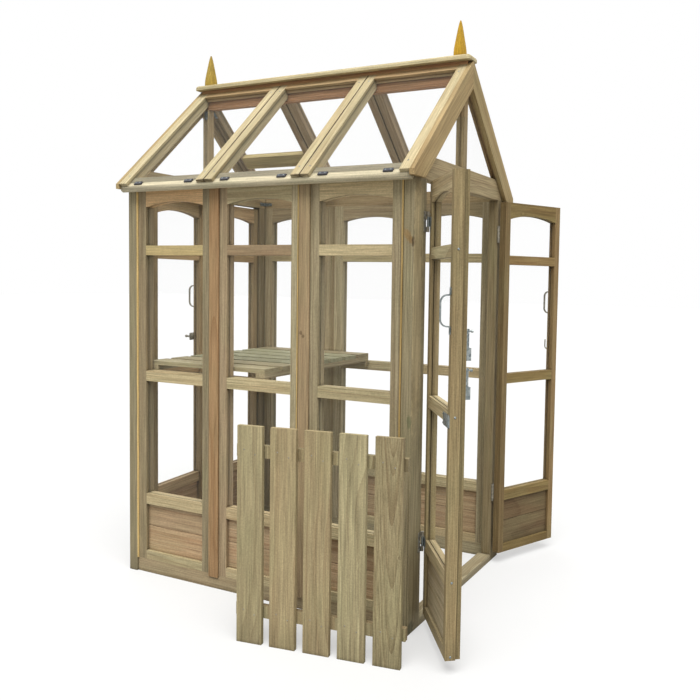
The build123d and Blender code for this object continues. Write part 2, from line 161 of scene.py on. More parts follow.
LOG_SPREAD_MM = (190, 50, 3000)        # how far apart in their logs the boards may lie
PITH_ASIDE_MM = (12, -25)              # least distance from the pith to a board's middle
PITH_DEPTH_MM, PITH_LEAN = 24.0, 0.05  # pith of a figured board: behind its face, and its slant
PITH_BEND_MM = (30, 30, 0)
RING_MM = 7.0                          # real rings are about 3 mm apart: wider, to show at 3 mm a pixel
RING_SHOW, FIGURE_SHOW = 0.66, 0.45    # how far a ring's dark wood shows, and more on figured boards
STAIN_EDGE_MM, STAIN_RAGGED = 18, 1.2
FUZZ_MM = 5
RESIN_BROWN, BATTEN_SHADE_BROWN, TREATED_GREEN = "#A07A54", "#77664C", "#8E9168"
KNOT_RIM, KNOT_HEART = "#5C4028", "#A0703E"


def softwood(name, early, late, along, across, seat, board, seed,
             stains_and_painted_light=(), odd_and_painted_light=(), figured=(), crossed=None):
    """Sawn, pressure-treated softwood.

    Every board is cut from its own place in a log: rings are distances from a pith that runs along
    the board and wanders, with knots that go through it. early and late are the colours of a ring's
    pale and dark wood, along and across the board's directions, seat a corner of the first board, and
    board the spacing of boards in mm (across, through, along). The blotches at chosen points, real
    stains with painted light and painted shade among them, come with their radii in mm, colour and
    strength, and the boards named by a point in them, some of a tone of their own and some painted
    lighter or darker for the light that falls on them, come with the colour that each leans to and how
    far. figured names boards, by a point on the face, that were cut beside the pith. Where crossed is
    given, wood nearer than that to the seat, through the board, lies across the rest, as battens do,
    and gets painted shade as wood behind the slats. To the eye it gives fine lengthwise lines, a tone of
    its own for each board, faint green from the treatment, knots, and painted shade where timbers meet
    at a corner.
    """
    finish, tree, skin = new_finish(name)
    along, across = Vector(along).normalized(), Vector(across).normalized()
    turn = Matrix((across, along.cross(across), along))
    place = add(tree, "ShaderNodeTexCoord").outputs["Object"]
    stick = add(tree, "ShaderNodeMapping", {
        "Vector": place, "Location": turn @ Vector(seat) * -MM,
        "Rotation": turn.to_euler(), "Scale": (MM, MM, MM)}).outputs[0]
    if crossed:
        part = add(tree, "ShaderNodeSeparateXYZ", {0: stick}).outputs
        behind = maths(tree, "LESS_THAN", part[1], crossed)
        turned_stick = add(tree, "ShaderNodeCombineXYZ", {0: part[2], 1: part[1], 2: part[0]}).outputs[0]
        stick = between(tree, behind, stick, turned_stick)
    cell = vectors(tree, "SNAP", stick, board)
    lot = add(tree, "ShaderNodeTexWhiteNoise", {"Vector": cell, "W": seed}, noise_dimensions="4D").outputs
    resin = add(tree, "ShaderNodeSeparateColor", {"Color": lot["Color"]}).outputs[2]
    inside = vectors(tree, "SUBTRACT", stick, cell)
    log = vectors(tree, "MULTIPLY_ADD", lot["Color"], LOG_SPREAD_MM, inside)
    # The pith lies to one side of most boards, so that rings cross their faces as close straight lines
    log = vectors(tree, "ADD", log, (PITH_ASIDE_MM[0] - board[0] / 2, PITH_ASIDE_MM[1] - board[1] / 2, 0))

    def home(point):
        """The point in the board's own directions, and the corner of the board that it lies in, in mm."""
        spot = turn @ (Vector(point) - Vector(seat)) * MM
        return spot, Vector([math.floor(at / size) * size for at, size in zip(spot, board)])

    def picked(point, share):
        """A share for the board that the point lies in, and nothing for the others."""
        apart = vectors(tree, "DISTANCE", cell, home(point)[1])
        return ramp(tree, apart, (1.0, 2.0), (share, 0.0))

    def grain(across_mm, along_mm, detail, result="Fac"):
        """Noise in the log, with lumps of these sizes across and along the board."""
        lumps = vectors(tree, "MULTIPLY", log, (1 / across_mm, 1 / across_mm, 1 / along_mm))
        return noise(tree, lumps, 1.0, detail, result)

    # A pith that leans through the board brings its rings out on the face as nested arrows
    bold = RING_SHOW
    for point in figured:
        spot, corner_at = home(point)
        lean = Matrix.Rotation(PITH_LEAN, 3, "X")
        sawn = add(tree, "ShaderNodeMapping", {
            "Vector": inside, "Rotation": lean.to_euler(),
            "Location": Vector((0, PITH_DEPTH_MM, 0)) - lean @ (spot - corner_at)}).outputs[0]
        log = between(tree, picked(point, 1.0), log, sawn)
        bold = maths(tree, "ADD", picked(point, FIGURE_SHOW), bold)

    # The pith wanders in the length of a board, which draws long pointed figures on flat-sawn faces
    pith = vectors(tree, "MULTIPLY_ADD", grain(420, 800, 2.0, "Color"), PITH_BEND_MM, log)

    # Branches every 150 mm or so, most of them too small to see, run through the board
    spots = vectors(tree, "MULTIPLY", log, (1 / 150, 1 / 600, 1 / 170))
    branch = add(tree, "ShaderNodeTexVoronoi", {"Vector": spots, "Scale": 1.0}).outputs
    luck = add(tree, "ShaderNodeSeparateColor", {"Color": branch["Color"]}).outputs[0]
    knot = maths(tree, "DIVIDE", branch["Distance"], ramp(tree, luck, (0.6, 1.0), (0.002, 0.055)))
    aside = ramp(tree, knot, (0.8, 3.5), (5.0, 0.0), "SMOOTHSTEP")
    knot_rim = ramp(tree, knot, (0.8, 1.25), (0.8, 0.0), "SMOOTHSTEP")
    knot_heart = ramp(tree, knot, (0.4, 0.9), (0.75, 0.0), "SMOOTHSTEP")

    # Rings pass round the knots
    radius = vectors(tree, "LENGTH", vectors(tree, "MULTIPLY", pith, (1, 1, 0)))
    ring = maths(tree, "DIVIDE", maths(tree, "ADD", radius, aside), RING_MM)
    # Wet and dry years: the spacing varies from ring to ring
    years = add(tree, "ShaderNodeTexNoise", {
        "W": ring, "Scale": 0.3, "Detail": 2.0}, noise_dimensions="1D").outputs["Fac"]
    ring = maths(tree, "FRACT", maths(tree, "MULTIPLY_ADD", years, 4.0, ring))
    late_share = maths(tree, "POWER", ring, 2.5)

    # Fibres, drawn 4 mm wide, broader streaks of heartwood and resin, and patches of the treatment
    fibre = grain(4, 150, 3.0)
    streak = grain(22, 900, 2.0)
    mottle = grain(90, 240, 3.0)

    colour = coat(tree, maths(tree, "MULTIPLY", late_share, bold), paint(early), paint(late))
    colour = coat(tree, ramp(tree, streak, (0.45, 0.75), (0.0, 0.65)), colour, paint(late))
    colour = coat(tree, ramp(tree, resin, (0.5, 1.0), (0.0, 0.3)), colour, paint(RESIN_BROWN))
    for point, hue, share in odd_and_painted_light:
        colour = coat(tree, picked(point, share), colour, paint(hue))
    if crossed:
        # Painted shade on the battens, where they lie behind the slats
        colour = coat(tree, maths(tree, "MULTIPLY", behind, 0.45), colour, paint(BATTEN_SHADE_BROWN))
    colour = coat(tree, ramp(tree, mottle, (0.45, 0.75), (0.0, 0.22)), colour, paint(TREATED_GREEN))
    colour = coat(tree, knot_rim, colour, paint(KNOT_RIM))
    colour = coat(tree, knot_heart, colour, paint(KNOT_HEART))
    ragged = noise(tree, place, MM / STAIN_EDGE_MM, 3.0, "Color")
    for point, radii_mm, hue, strength in stains_and_painted_light:
        shift = [at + STAIN_RAGGED / 2 * reach / MM for at, reach in zip(point, radii_mm)]
        away = vectors(tree, "SUBTRACT", place, shift)
        away = vectors(tree, "MULTIPLY", away, [MM / reach for reach in radii_mm])
        away = vectors(tree, "LENGTH", vectors(tree, "MULTIPLY_ADD", ragged, [STAIN_RAGGED] * 3, away))
        blot = ramp(tree, away, (0.5, 1.1), (strength, 0.0), "SMOOTHSTEP")
        colour = coat(tree, blot, colour, paint(hue))

    tone = ramp(tree, lot["Value"], (0.0, 1.0), (0.86, 1.08))
    fleck = ramp(tree, fibre, (0.25, 0.75), (0.67, 1.28))
    # Saw fuzz, in points
    fuzz = ramp(tree, noise(tree, place, MM / FUZZ_MM, 1.0), (0.3, 0.7), (0.90, 1.12))
    # Feet that stand on the ground drink it, and go darker
    height = add(tree, "ShaderNodeSeparateXYZ", {0: place}).outputs[2]
    damp = ramp(tree, height, (0.0, 0.12), (0.8, 1.0))
    # Painted shade where timbers meet at a corner: darker where ambient occlusion finds other wood close
    corner = add(tree, "ShaderNodeAmbientOcclusion", {"Distance": 0.014}, samples=4).outputs["AO"]
    painted_corner_shade = ramp(tree, corner, (0.35, 0.95), (0.48, 1.0))
    value = maths(tree, "MULTIPLY", tone, maths(tree, "MULTIPLY", fleck, fuzz))
    value = maths(tree, "MULTIPLY", maths(tree, "MULTIPLY", value, damp), painted_corner_shade)
    colour = add(tree, "ShaderNodeHueSaturation", {"Value": value, "Color": colour}).outputs[0]
    relief = maths(tree, "ADD", fibre, late_share)
    bump = add(tree, "ShaderNodeBump", {"Strength": 0.3, "Distance": 0.0006, "Height": relief}).outputs[0]
    tree.links.new(colour, skin.inputs["Base Color"])
    tree.links.new(ramp(tree, fibre, (0.25, 0.75), (0.82, 0.66)), skin.inputs["Roughness"])
    tree.links.new(bump, skin.inputs["Normal"])
    skin.inputs["Specular IOR Level"].default_value = 0.25
    return finish


def clear_sheet(name):
    """Clear extruded styrene sheet: almost unseen, with a faint haze and a gloss dulled by a cloth."""
    finish, tree, skin = new_finish(name)
    place = add(tree, "ShaderNodeTexCoord").outputs["Object"]
    wiped = noise(tree, place, 9.0, 4.0)
    tree.links.new(coat(tree, wiped, paint("#DCE4E0"), paint("#EEF4F1")), skin.inputs["Base Color"])
    tree.links.new(ramp(tree, wiped, (0.3, 0.7), (0.05, 0.16)), skin.inputs["Roughness"])
    skin.inputs["IOR"].default_value = 1.59
    skin.inputs["Alpha"].default_value = 0.014
    return finish


def zinc_steel(name, pale, dark, bare):
    """Zinc-plated pressed steel: crystals of the coating as dull patches, a little grime between them.

    bare is the share of clean metal: where the coat has weathered to oxide it is a dull grey.
    """
    finish, tree, skin = new_finish(name)
    place = add(tree, "ShaderNodeTexCoord").outputs["Object"]
    # Crystals of the coating, about 9 mm across
    crystal = add(tree, "ShaderNodeTexVoronoi", {"Vector": place, "Scale": MM / 9.0}).outputs["Color"]
    facet = add(tree, "ShaderNodeSeparateColor", {"Color": crystal}).outputs[0]
    soil = ramp(tree, noise(tree, place, MM / 22.0, 4.0), (0.5, 0.8), (0.0, 0.5))
    colour = coat(tree, facet, paint(pale), paint(dark))
    tree.links.new(coat(tree, soil, colour, paint("#5E6560")), skin.inputs["Base Color"])
    tree.links.new(ramp(tree, facet, (0.0, 1.0), (0.36, 0.52)), skin.inputs["Roughness"])
    skin.inputs["Metallic"].default_value = bare
    return finish


def moulded_black(name):
    """Moulded black plastic of the sheet clips: even, with a fine pebble and worn paler where rubbed."""
    finish, tree, skin = new_finish(name)
    place = add(tree, "ShaderNodeTexCoord").outputs["Object"]
    pebble = noise(tree, place, MM / 1.5, 2.0)
    rubbed = noise(tree, place, MM / 14.0, 3.0)
    bump = add(tree, "ShaderNodeBump", {"Strength": 0.2, "Distance": 0.0003, "Height": pebble}).outputs[0]
    tree.links.new(coat(tree, rubbed, paint("#22222A"), paint("#3A3A42")), skin.inputs["Base Color"])
    tree.links.new(bump, skin.inputs["Normal"])
    skin.inputs["Roughness"].default_value = 0.5
    return finish


# Each timber has its two ring colours, its directions along and across, its seat, the spacing of its boards
# in mm, and the solids it is in. A direction with one board only gets one wide cell.
WIDE = 4000.0
FAR = -2.0
LEAF_SEAT = -0.5       # outside the leaf, so that no edge of a cell cuts it
SPARE_SEAT_LOW = 2.03  # below the floor, so that no edge of a cell cuts a batten
SEED_STEP = 3.7
MID_EARLY, MID_LATE = "#B5A27C", "#8C7858"
POST_EARLY, POST_LATE = "#AC9F7E", "#857757"
GREY_EARLY, GREY_LATE = "#B8AB8A", "#8E7E5F"
SLAT_EARLY, SLAT_LATE = "#B1A57F", "#8E7F5F"
HONEY_EARLY, HONEY_LATE = "#CCBE95", "#A28D68"
RED_EARLY, RED_LATE = "#C6AC88", "#9E7A58"
TOP_EARLY, TOP_LATE = "#C3B590", "#A6916A"
LEAF_EARLY, LEAF_LATE = "#A18F68", "#7C6848"
SHADED_EARLY, SHADED_LATE = "#8C7751", "#6D5738"

timbers = {
    "post_softwood_sawn": (POST_EARLY, POST_LATE, Z, X, (-0.54, -0.2, FAR), (540, 785, WIDE),
                           ["corner_posts"]),
    "stud_softwood_sawn": (POST_EARLY, POST_LATE, Z, X, (-0.5, 0, FAR), (500, 447, WIDE), ["wall_studs"]),
    "cover_strip_softwood_planed": ("#BCA179", "#94744F", Z, X, (-0.5, 0.222, FAR), (500, 447, WIDE),
                                    ["cover_strips"]),
    "wall_stile_softwood_planed": (GREY_EARLY, GREY_LATE, Z, X, (-0.5, 0, FAR), (500, 223.5, WIDE),
                                   ["left_wall_stiles", "right_wall_stiles"]),
    "wall_rail_softwood_planed": (HONEY_EARLY, HONEY_LATE, Y, Z, (-0.5, 0, 0), (250, 500, 447),
                                  ["left_wall_rails", "right_wall_rails"]),
    "wall_board_softwood_grooved": (RED_EARLY, RED_LATE, Y, Z, (-0.5, 0, 0.0985), (110, 500, 447),
                                    ["wall_boards"]),
    "side_sill_softwood_sawn": (GREY_EARLY, GREY_LATE, Y, Z, (-0.5, FAR, -0.1), (WIDE, 500, WIDE),
                                ["side_sills"]),
    "door_sill_softwood_sawn": (GREY_EARLY, GREY_LATE, X, Y, (FAR, -0.2, -0.1), (785, WIDE, WIDE),
                                ["door_sills"]),
    "wall_plate_softwood_sawn": (MID_EARLY, MID_LATE, Y, Z, (-0.5, FAR, 1.5), (WIDE, 500, WIDE),
                                 ["wall_plates"]),
    "tie_softwood_sawn": (MID_EARLY, MID_LATE, X, Y, (FAR, -0.2, 1.651), (785, 90, WIDE),
                          ["lower_ties", "upper_ties"]),
    "king_post_softwood_sawn": (MID_EARLY, MID_LATE, Z, X, (FAR, -0.2, FAR), (WIDE, 785, WIDE),
                                ["king_posts"]),
    "ridge_softwood_sawn": ("#BC8F66", "#8E603C", Y, Z, (FAR, FAR, 1.0), (WIDE, WIDE, WIDE),
                            ["ridge_beam"]),
    "ridge_cap_softwood_planed": ("#E0D2A8", "#B09A68", Y, X, (FAR, FAR, 1.0), (WIDE, WIDE, WIDE),
                                  ["ridge_cap"]),
    "left_rafter_softwood_planed": (TOP_EARLY, TOP_LATE, UP_LEFT, Y, (0, -0.263, 0), (233.3, WIDE, WIDE),
                                    ["left_rafters"]),
    # The right rafters, seen from below inside, are a darker and warmer copy of the left rafters' wood:
    # painted shade
    "right_rafter_softwood_planed": ("#BCA684", "#987E5E", UP_RIGHT, Y, (0, -0.263, 0), (233.3, WIDE, WIDE),
                                     ["right_rafters"]),
    "roof_rail_softwood_planed": (TOP_EARLY, TOP_LATE, Y, Z, (-2.0, FAR, 1.4), (600, 2000, WIDE),
                                  ["eaves_rails", "top_rails"]),
    "left_barge_softwood_planed": ("#B4A074", "#927A50", UP_LEFT, Y, (0, -0.7, 0), (1370, WIDE, WIDE),
                                   ["left_bargeboards"]),
    "right_barge_softwood_planed": ("#B4A074", "#927A50", UP_RIGHT, Y, (0, -0.7, 0), (1370, WIDE, WIDE),
                                    ["right_bargeboards"]),
    "shelf_board_softwood_sawn": ("#A8A585", "#8A8564", Y, X, (-0.4515, FAR, 0.5), (129, WIDE, WIDE),
                                  ["shelf_boards"]),
    "shelf_batten_softwood_sawn": (GREY_EARLY, GREY_LATE, X, Y, (FAR, 0.4, FAR), (600, WIDE, WIDE),
                                   ["shelf_battens"]),
    "shelf_bearer_softwood_sawn": (GREY_EARLY, GREY_LATE, Y, X, (-0.5, FAR, FAR), (500, WIDE, WIDE),
                                   ["shelf_bearers"]),
    "wall_bead_softwood_moulded": ("#DDBF80", "#BF9C5E", Z, X, (-0.5, -0.05, FAR), (500, 300, WIDE), []),
    "finial_softwood_sawn_ochre": ("#D4AA00", "#B08600", Z, X, (FAR, -0.2, FAR), (WIDE, 785, WIDE),
                                   ["finials"]),
}
# The spare shelf's slats stand on end, with its battens across their backs
spare_side = Vector((-math.sin(SPARE_TURN), math.cos(SPARE_TURN), 0))
spare_out = Vector((-math.cos(SPARE_TURN), -math.sin(SPARE_TURN), 0))
timbers["spare_shelf_softwood_sawn"] = (
    SLAT_EARLY, SLAT_LATE, Z, spare_side,
    SPARE_FOOT - spare_side * 2.5 * SLAT_SPACING - spare_out - Z * SPARE_SEAT_LOW,
    (SLAT_SPACING * MM, WIDE, WIDE), ["loose_shelf"])
SLAT_BACK_MM = 982.0  # from the spare shelf's seat to the backs of its slats
for name, leaf in LEAVES.items():
    stile_seat = leaf.point(LEAF_HALF, LEAF_SEAT, FAR) - leaf.run
    # Leaf tones with painted light and shade: the front right leaf's stiles, rails and boards darker, painted
    # shade; the front left leaf's stiles darker, painted shade, and its boards paler, painted light
    stile_tones, rail_tones, board_tones = {
        "front_left": ((LEAF_EARLY, LEAF_LATE), (HONEY_EARLY, HONEY_LATE), ("#C4B493", "#9A8763")),
        "front_right": ((SHADED_EARLY, SHADED_LATE), ("#897549", "#695230"), ("#736246", "#5A4832")),
    }.get(name, (("#A8936E", "#80694C"), ("#C2A880", "#967A58"), ("#C0A07C", "#927352")))
    timbers[name + "_stile_softwood_planed"] = (
        *stile_tones, Z, leaf.run, stile_seat, (1000, WIDE, WIDE), [name + "_stiles"])
    timbers[name + "_rail_softwood_planed"] = (
        *rail_tones, leaf.run, Z, leaf.point(-1.0, LEAF_SEAT, 0), (250, WIDE, WIDE), [name + "_rails"])
    timbers[name + "_board_softwood_grooved"] = (
        *board_tones, leaf.run, Z, leaf.point(-1.0, LEAF_SEAT, 0.0885), (110, WIDE, WIDE), [name + "_boards"])
    if name.endswith("left"):
        # Meeting strips of the left leaves in a darker tone: painted shade, matched to the front left strip's
        # face away from the light
        timbers[name + "_strip_softwood_planed"] = (
            "#95845F", "#736140", Z, leaf.run, stile_seat, (1000, WIDE, WIDE),
            [name + "_meeting_strip"])
timbers["vent_rail_softwood_planed"] = (
    "#CDBB86", "#A49062", Y, Z, (FAR, FAR, 1.0), (WIDE, WIDE, WIDE), ["vent_rail"])


def wear(finish, nodes):
    """Puts a finish on solids, through their material slots."""
    for node in nodes:
        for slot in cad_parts[node].material_slots:
            slot.material = finish


# Blotches that the eye goes to, real stains and painted light and shade, each as a point, radii in mm, colour
# and strength
stains_and_painted_light = {
    "post_softwood_sawn": [((-0.490, 0.004, 1.490), (30, 15, 20), "#A88A5C", 0.8),
                           ((-0.490, -0.006, 1.479), (30, 15, 21), "#A4875A", 0.8),
                           ((-0.490, -0.016, 1.470), (30, 12, 18), "#98794E", 0.8),
                           ((-0.490, -0.027, 1.464), (14, 9, 22), "#57452F", 0.85),
                           ((-0.470, -0.030, 0.020), (40, 20, 30), "#4A4A34", 0.6),
                           # A long pale streak down the front face of the front left post, where the open leaf
                           # shades it: painted light
                           ((-0.460, -0.032, 1.250), (60, 7, 600), "#C6B288", 0.6),
                           ((-0.490, -0.020, 0.800), (20, 10, 30), "#5F6B48", 0.5)],
    "cover_strip_softwood_planed": [((-0.490, 0.457, 1.108), (18, 9, 9), "#63503A", 0.7),
                                    ((-0.490, 0.447, 1.096), (18, 9, 9), "#63503A", 0.7)],
}
# Painted shade in the open joints between rafters, and the rafters darker round the joints' lower ends
for side, sign in (("left", -1), ("right", 1)):
    stains_and_painted_light[side + "_rafter_softwood_planed"] = [
        *(((sign * 0.27, y, 2.0), (900, 4.5, 900), "#4E4030", 0.85) for y in RAFTER_JOINTS),
        *(((sign * (ROOF_HALF - 0.002), y, EAVES - 0.008), (9, 60, 13), "#55452F", 0.75)
          for y in RAFTER_JOINTS)]
# Boards that stand out from their neighbours, and boards painted lighter or darker for the light that falls on
# them, each by a point in it, the colour it leans to and how far
last_slat = SPARE_FOOT - spare_side * 2 * SLAT_SPACING
odd_boards_and_painted_light = {
    "spare_shelf_softwood_sawn": [(last_slat - spare_out * 0.009 + Z * 0.4, "#8A7452", 0.3)],
    "wall_rail_softwood_planed": [((-0.46, 0.67, 1.43), "#8C7058", 0.6),
                                  ((-0.46, 1.1, 1.43), "#CFB87C", 0.6),
                                  # The left wall's two head rails, under the eaves, lean to paler tones:
                                  # painted light
                                  ((-0.46, 1.1, 1.65), "#E8BC88", 0.75),
                                  ((-0.46, 0.2, 1.65), "#CDB68A", 0.4),
                                  # The right wall's head rails, seen from inside, lean to a darker tone:
                                  # painted shade
                                  *(((0.46, y, 1.65), "#7C6852", 0.55) for y in (0.2, 0.67, 1.1))],
    "wall_stile_softwood_planed": [((-0.46, 1.30, 1.0), "#7C6A50", 0.25),
                                   ((-0.46, 0.95, 1.0), "#7F7054", 0.5),
                                   ((-0.46, 0.85, 1.0), "#B09478", 0.3)],
    # The right front and right back posts, seen from inside, lean to darker tones: painted shade
    "post_softwood_sawn": [((0.44, -0.01, 1.0), "#6E5C3C", 0.55), ((0.44, 1.35, 1.0), "#75634A", 0.4),
                           ((-0.46, 1.35, 1.0), "#7F765C", 0.5)],
    "roof_rail_softwood_planed": [*(((sign * 0.51, 0.5, 1.71), "#E2DABC", 0.6) for sign in (-1, 1)),
                                  # The top rails, in the shadow under the ridge cap, lean to a paler tone:
                                  # painted light
                                  *(((sign * 0.06, 0.5, 2.17), "#D8AC78", 0.5) for sign in (-1, 1))],
    "cover_strip_softwood_planed": [((-0.486, 0.446, 0.9), "#8E7F66", 0.45),
                                    ((-0.486, 0.9, 0.9), "#A87B50", 0.45)],
    "finial_softwood_sawn_ochre": [((0, 1.33, 2.3), "#9C8C58", 0.55)],
}
figured_boards = {"spare_shelf_softwood_sawn": [last_slat + Z * 0.45]}
finishes = {}
for seed, (name, timber) in enumerate(timbers.items()):
    early, late, along, across, seat, board, nodes = timber
    finishes[name] = softwood(
        name, early, late, along, across, seat, board, seed * SEED_STEP,
        stains_and_painted_light.get(name, ()), odd_boards_and_painted_light.get(name, ()), figured_boards.get(name, ()),
        SLAT_BACK_MM if name.startswith("spare") else None)
    wear(finishes[name], nodes)

sheet = clear_sheet("clear_sheet_extruded_styrene")
wear(sheet, [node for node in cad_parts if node.endswith("_glazing")])
zinc = zinc_steel("zinc_plated_steel_pressed", "#A2A8A6", "#6E7779", 0.85)
wear(zinc, ["front_left_ironwork", "tower_bolts"])
dull_zinc = zinc_steel("zinc_plated_steel_weathered", "#A8A292", "#7F7A6C", 0.3)
wear(dull_zinc, ["front_right_ironwork", "back_left_ironwork", "back_right_ironwork", "hinge_flaps"])
clip_black = moulded_black("clip_plastic_moulded_black")
wear(clip_black, ["glazing_clips"])


# New pieces

def skin_over(name, rings, body, finish, smooth=True):
    """Closed skin over stacked rings, an array (copies, levels, around, 3).

    Each ring's points join the next ring's and their neighbours round the ring, and the first and
    last rings are closed flat. Faces are turned so that the volume they close is positive.
    """
    rings = np.asarray(rings, float)
    copies, levels, around, _ = rings.shape
    level, spoke = np.meshgrid(np.arange(levels - 1), np.arange(around), indexing="ij")
    beside = (spoke + 1) % around
    low, high = level * around, (level + 1) * around
    quads = np.stack([low + spoke, low + beside, high + beside, high + spoke], axis=-1).reshape(-1, 4)
    ends = np.stack([np.arange(around)[::-1], (levels - 1) * around + np.arange(around)])
    one = rings[0].reshape(-1, 3) - rings[0].reshape(-1, 3).mean(0)
    a, b, c, d = (one[quads[:, i]] for i in range(4))
    volume = (np.cross(a, b) * c).sum() + (np.cross(a, c) * d).sum()
    if volume < 0:
        quads, ends = quads[:, ::-1], ends[:, ::-1]
    first = np.arange(copies)[:, None, None] * levels * around
    faces = (quads + first).reshape(-1, 4).tolist() + (ends + first).reshape(-1, around).tolist()
    mesh = bpy.data.meshes.new(name)
    mesh.from_pydata(rings.reshape(-1, 3).tolist(), [], faces)
    mesh.polygons.foreach_set("use_smooth", np.full(len(mesh.polygons), smooth))
    mesh.materials.append(finish)
    mesh.update()
    piece = bpy.data.objects.new(name, mesh)
    bpy.context.scene.collection.objects.link(piece)
    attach(piece, body)
    return piece


def square_to(axis):
    """Two unit directions square to an axis and to each other."""
    axis = np.asarray(axis, float) / np.linalg.norm(axis)
    helper = np.array([0, 0, 1.0]) if abs(axis[2]) < 0.9 else np.array([1.0, 0, 0])
    first = np.cross(helper, axis)
    first /= np.linalg.norm(first)
    return axis, first, np.cross(axis, first)


def turned(centres, axis, profile, around=16):
    """Rings of turned bodies.

    At angle a and profile point (radius, height): centre + radius round the axis + height along it.
    """
    axis, first, second = square_to(axis)
    radius, height = np.asarray(profile, float).T
    angle = np.arange(around) * 2 * np.pi / around
    spoke = np.cos(angle)[:, None] * first + np.sin(angle)[:, None] * second
    one = radius[:, None, None] * spoke + height[:, None, None] * axis
    return np.asarray(centres, float)[:, None, None, :] + one


def pressed_plate(middle, across, up, size, thickness, corner, around=32):
    """Rings of a flat plate.

    A rectangle with round corners, given by angle, lifted along its normal and drawn in at the rim.
    """
    across, up = np.asarray(across, float), np.asarray(up, float)
    normal = np.cross(across, up)
    angle = (np.arange(around) + 0.5) * 2 * np.pi / around
    side, rise = np.cos(angle), np.sin(angle)
    half = np.asarray(size, float) / 2

    def outline(inset):
        x = np.sign(side) * (half[0] - corner) + (corner - inset) * side
        y = np.sign(rise) * (half[1] - corner) + (corner - inset) * rise
        return np.asarray(middle, float) + x[:, None] * across + y[:, None] * up

    rim = thickness * 0.35
    return np.stack([
        outline(0), outline(0) + normal * (thickness - rim),
        outline(rim * 0.35) + normal * (thickness - rim * 0.3), outline(rim) + normal * thickness])[None]


def rounded_board(low, high, corner, edge, around=48, steps=6):
    """Rings of a level board.

    A rectangle with round corners, given by angle, drawn in by a quarter circle at its upper edge.
    """
    low, high = np.asarray(low, float), np.asarray(high, float)
    angle = (np.arange(around) + 0.5) * 2 * np.pi / around
    side = np.stack([np.cos(angle), np.sin(angle)], axis=1)
    half = (high - low)[:2] / 2
    bend = np.linspace(0, np.pi / 2, steps)
    inset = np.concatenate([[0.0], edge * (1 - np.cos(bend))])[:, None, None]
    level = np.concatenate([[low[2]], high[2] - edge * (1 - np.sin(bend))])
    flat = (low + high)[:2] / 2 + np.sign(side) * (half - corner) + (corner - inset) * side
    height = np.broadcast_to(level[:, None, None], (*flat.shape[:2], 1))
    return np.concatenate([flat, height], axis=2)[None]


def carried(path, wide, thick, around=12):
    """Rings of a bar carried along a path: at each path point an ellipse square to the path's direction."""
    path = np.asarray(path, float)
    ahead = np.gradient(path, axis=0)
    ahead /= np.linalg.norm(ahead, axis=1)[:, None]
    side = np.cross(ahead, [0.31, 0.62, 0.72])
    side /= np.linalg.norm(side, axis=1)[:, None]
    over = np.cross(ahead, side)
    angle = np.arange(around) * 2 * np.pi / around
    return (path[:, None] + wide / 2 * np.cos(angle)[:, None] * side[:, None]
            + thick / 2 * np.sin(angle)[:, None] * over[:, None])[None]


def quarter_round(corners, out, beside, size, foot, head, around=10):
    """Rings of glazing beads: a quarter circle from a wall's face to a post's side, carried straight up."""
    angle = np.linspace(0, np.pi / 2, around - 1)
    bow = np.concatenate([[[0, 0]], np.stack([np.cos(angle), np.sin(angle)], axis=1)])
    bow = bow * np.asarray(size, float)[:, None, None, None]
    corners, out, beside = (np.asarray(given, float)[:, None, None, :] for given in (corners, out, beside))
    level = np.array([foot, head])[:, None, None] * np.array([0, 0, 1.0])
    return corners + bow[..., :1] * out + bow[..., 1:] * beside + level


def bullnose(top, bottom, outward, along, around=14):
    """Rings of a round nosing: half an ellipse from a board's top edge to its bottom, carried along it."""
    top, bottom, outward, along = (np.asarray(value, float) for value in (top, bottom, outward, along))
    angle = np.linspace(0, np.pi, around)
    bow = (top + bottom) / 2 + np.cos(angle)[:, None] * (top - bottom) / 2
    bow = bow + np.sin(angle)[:, None] * outward
    return (bow + np.array([0, 1])[:, None, None] * along)[None]


def eased(points, steps=8):
    """Smooth path through points: between two of them a cubic whose slopes there follow the neighbours."""
    points = np.asarray(points, float)
    ends = np.concatenate([[2 * points[0] - points[1]], points, [2 * points[-1] - points[-2]]])
    before, start, stop, after = ends[:-3], ends[1:-2], ends[2:-1], ends[3:]
    t = np.linspace(0, 1, steps, endpoint=False)[None, :, None]
    before, start, stop, after = (value[:, None] for value in (before, start, stop, after))
    run = 0.5 * (2 * start + (stop - before) * t + (2 * before - 5 * start + 4 * stop - after) * t ** 2
                 + (3 * start - before - 3 * stop + after) * t ** 3)
    return np.concatenate([run.reshape(-1, 3), points[-1:]])


def leaf_plate(leaf, along, height, size, thickness, corner):
    """Rings of a flat plate on a leaf's outer face, by its middle's distance from the hinge and its height."""
    return pressed_plate(leaf.point(along, LEAF_OUTER, height), -leaf.run, Z, size, thickness, corner)


HOUSE = "greenhouse"

# Domed screw head with a small recess, and a flatter nail head (radius, height)
SCREW_HEAD = np.array([(4.2, 0), (4.2, 0.7), (3.6, 1.5), (2.4, 2.1), (1.5, 2.2), (1.1, 1.1)]) / MM
SMALL_SCREW = SCREW_HEAD * 0.75
NAIL_HEAD = np.array([(2.6, 0), (2.6, 0.3), (2.0, 0.6), (0.8, 0.7)]) / MM

